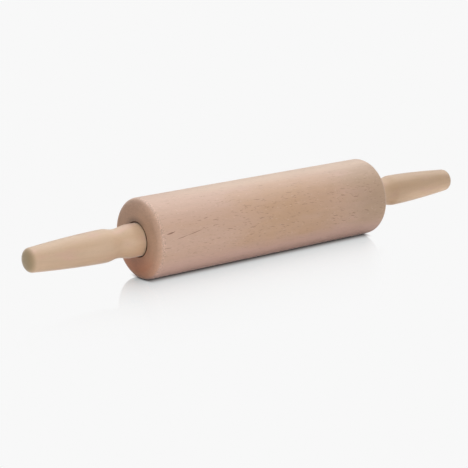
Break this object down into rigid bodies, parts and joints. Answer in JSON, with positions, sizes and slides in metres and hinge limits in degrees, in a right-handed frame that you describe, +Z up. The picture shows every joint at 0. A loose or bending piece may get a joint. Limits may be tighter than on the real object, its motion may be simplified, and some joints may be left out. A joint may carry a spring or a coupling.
{
  "type": "rolling pin",
  "caption": "Turned wooden rolling pin: a beech barrel that spins on ball bearings and a steel axle between two fixed tapered handles.",
  "frame": {"origin": "middle of the barrel, on the axle's line; the whole pin's box is centred there", "axes": "+X along the axle from the left handle to the right handle, +Z up; the pin lies on a surface at z = -32.5 mm"},
  "size_m": [0.436, 0.065, 0.065],
  "materials": {
    "barrel_beech": "fine-sanded, unvarnished beech with short ray flecks",
    "handle_wood": "fine-sanded, unvarnished pale hardwood, plainer and yellower than the barrel",
    "axle_steel": "drawn bright rod",
    "bearing_steel": "ground",
    "ball_steel": "polished",
    "sheet_steel": "pressed bright sheet",
    "washer_steel": "stamped"
  },
  "bodies": {
    "handles": {"axle": "axle_steel", "left_handle": "handle_wood", "right_handle": "handle_wood", "left_inner_race": "bearing_steel", "right_inner_race": "bearing_steel", "left_washer": "washer_steel", "right_washer": "washer_steel"},
    "barrel": {"barrel": "barrel_beech", "left_outer_race": "bearing_steel", "right_outer_race": "bearing_steel", "left_inner_shield": "sheet_steel", "right_inner_shield": "sheet_steel", "left_outer_shield": "sheet_steel", "right_outer_shield": "sheet_steel"},
    "left_cage": {"left_balls": "ball_steel", "left_cage_inner_half": "sheet_steel", "left_cage_outer_half": "sheet_steel", "left_cage_rivets": "bearing_steel"},
    "right_cage": {"right_balls": "ball_steel", "right_cage_inner_half": "sheet_steel", "right_cage_outer_half": "sheet_steel", "right_cage_rivets": "bearing_steel"}
  },
  "joints": [
    {"name": "barrel_spin", "type": "hinge", "parent": "handles", "child": "barrel", "pos_m": [0, 0, 0], "axis": [1, 0, 0], "continuous": true},
    {"name": "left_cage_spin", "type": "hinge", "parent": "handles", "child": "left_cage", "pos_m": [-0.1025, 0, 0], "axis": [1, 0, 0], "continuous": true},
    {"name": "right_cage_spin", "type": "hinge", "parent": "handles", "child": "right_cage", "pos_m": [0.1025, 0, 0], "axis": [1, 0, 0], "continuous": true}
  ],
  "couplings": [
    {"joint": "left_cage_spin", "follows": "barrel_spin", "ratio": 0.6323},
    {"joint": "right_cage_spin", "follows": "barrel_spin", "ratio": 0.6323}
  ]
}
